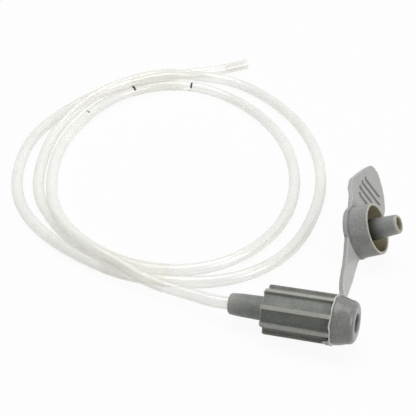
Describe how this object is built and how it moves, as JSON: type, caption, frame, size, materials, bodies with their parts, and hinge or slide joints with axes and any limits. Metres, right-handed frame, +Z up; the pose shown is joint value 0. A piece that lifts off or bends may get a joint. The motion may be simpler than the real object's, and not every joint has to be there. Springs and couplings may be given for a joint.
{
  "type": "nasogastric tube",
  "caption": "Soft clear feeding tube in a taped coil, with a ribbed funnel connector whose plug cap hangs open on its strap",
  "frame": {"origin": "on the floor under the middle of the connector and its cap, without the tube and the tapes", "axes": "+X along the connector towards its nose, which points 5.5 degrees up; +Y along the strap from the connector to the cap; +Z up"},
  "size_m": [0.1467, 0.1604, 0.0193],
  "materials": {
    "tube_plastic": "smooth milky clear, soft",
    "connector_plastic": "fine satin, cool grey",
    "nose_plastic": "satin, cool grey",
    "ring_plastic": "satin, light grey",
    "cap_plastic": "satin, warm light grey",
    "tape_film_front": "clear film, slightly yellow",
    "tape_film_back": "clear film, slightly yellow"
  },
  "bodies": {
    "connector": {"grip_body": "connector_plastic", "nose_cone": "nose_plastic", "tether_ring": "ring_plastic", "feeding_tube": "tube_plastic", "coil_tape_front": "tape_film_front", "coil_tape_back": "tape_film_back"},
    "cap": {"closure_cap": "cap_plastic"}
  },
  "joints": [
    {"name": "cap_hinge", "type": "hinge", "parent": "connector", "child": "cap", "pos_m": [0.01185, -0.02725, 0.00959], "axis": [0.0958, 0, -0.9954], "range_deg": [0, 100]}
  ]
}
